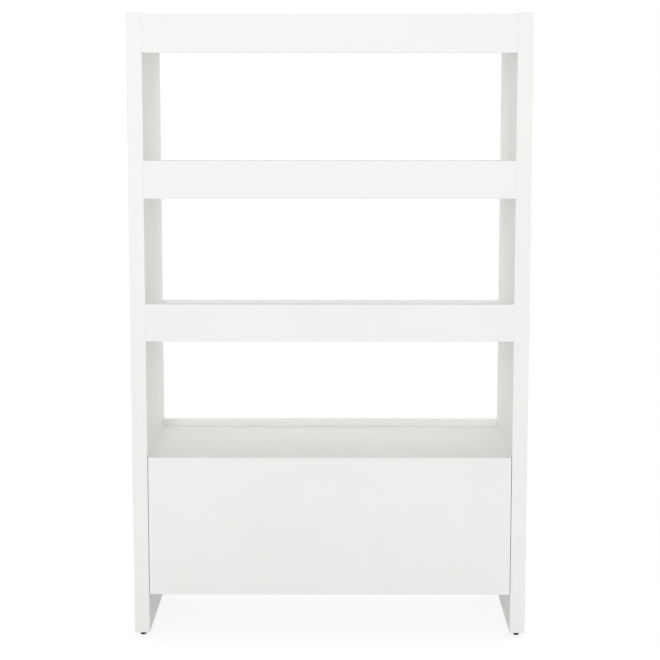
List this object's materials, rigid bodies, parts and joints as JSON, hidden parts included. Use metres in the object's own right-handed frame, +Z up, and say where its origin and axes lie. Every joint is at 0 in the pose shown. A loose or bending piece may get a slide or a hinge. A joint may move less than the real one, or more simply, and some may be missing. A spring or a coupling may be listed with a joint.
{
  "type": "bookcase with bottom drawer",
  "caption": "White open-backed bookcase with tall front rails along its shelves, a full-width drawer in a closed base, and levelling feet under its side panels.",
  "frame": {"origin": "on the floor, under the middle of the case", "axes": "+Z up, +X to the right seen from the front, +Y to the back, so the drawer opens along -Y"},
  "size_m": [0.914, 0.4, 1.447],
  "materials": {
    "white_paint": "satin white paint",
    "box_wood": "clear lacquered birch",
    "slide_steel": "zinc plated",
    "cage_steel": "thin pressed steel",
    "fastener_steel": "zinc plated",
    "foot_plastic": "moulded black",
    "bumper_rubber": "soft and clear"
  },
  "bodies": {
    "case": {"side_panel_left": "white_paint", "side_panel_right": "white_paint", "top_rail": "white_paint", "middle_rail": "white_paint", "lower_rail": "white_paint", "top_shelf": "white_paint", "middle_shelf": "white_paint", "lower_shelf": "white_paint", "cabinet_top": "white_paint", "cabinet_floor": "white_paint", "cabinet_back": "white_paint", "slide_cabinet_member_left": "slide_steel", "slide_cabinet_member_right": "slide_steel", "slide_cabinet_screws": "fastener_steel", "leveller_inserts": "fastener_steel"},
    "drawer": {"drawer_front": "white_paint", "drawer_box_front": "box_wood", "drawer_box_left": "box_wood", "drawer_box_right": "box_wood", "drawer_box_back": "box_wood", "drawer_bottom": "box_wood", "slide_drawer_member_left": "slide_steel", "slide_drawer_member_right": "slide_steel", "slide_drawer_screws": "fastener_steel", "drawer_front_screws": "fastener_steel", "drawer_bumpers": "bumper_rubber"},
    "slide_middle": {"slide_middle_member_left": "slide_steel", "slide_middle_member_right": "slide_steel"},
    "slide_outer_cages": {"slide_outer_ball_cages": "cage_steel"},
    "slide_inner_cages": {"slide_inner_ball_cages": "cage_steel"},
    "leveller_front_left": {"leveller_front_left": "foot_plastic"},
    "leveller_front_right": {"leveller_front_right": "foot_plastic"},
    "leveller_back_left": {"leveller_back_left": "foot_plastic"},
    "leveller_back_right": {"leveller_back_right": "foot_plastic"}
  },
  "joints": [
    {"name": "drawer_slide", "type": "slide", "parent": "case", "child": "drawer", "axis": [0, -1, 0], "range_m": [0, 0.34]},
    {"name": "middle_slide", "type": "slide", "parent": "case", "child": "slide_middle", "axis": [0, -1, 0], "range_m": [0, 0.17]},
    {"name": "outer_cage_slide", "type": "slide", "parent": "case", "child": "slide_outer_cages", "axis": [0, -1, 0], "range_m": [0, 0.085]},
    {"name": "inner_cage_slide", "type": "slide", "parent": "case", "child": "slide_inner_cages", "axis": [0, -1, 0], "range_m": [0, 0.255]},
    {"name": "leveller_front_left_turn", "type": "hinge", "parent": "case", "child": "leveller_front_left", "pos_m": [-0.4395, -0.173, 0], "axis": [0, 0, 1], "continuous": true},
    {"name": "leveller_front_right_turn", "type": "hinge", "parent": "case", "child": "leveller_front_right", "pos_m": [0.4395, -0.173, 0], "axis": [0, 0, 1], "continuous": true},
    {"name": "leveller_back_left_turn", "type": "hinge", "parent": "case", "child": "leveller_back_left", "pos_m": [-0.4395, 0.173, 0], "axis": [0, 0, 1], "continuous": true},
    {"name": "leveller_back_right_turn", "type": "hinge", "parent": "case", "child": "leveller_back_right", "pos_m": [0.4395, 0.173, 0], "axis": [0, 0, 1], "continuous": true}
  ],
  "couplings": [
    {"joint": "middle_slide", "follows": "drawer_slide", "ratio": 0.5},
    {"joint": "outer_cage_slide", "follows": "drawer_slide", "ratio": 0.25},
    {"joint": "inner_cage_slide", "follows": "drawer_slide", "ratio": 0.75}
  ]
}
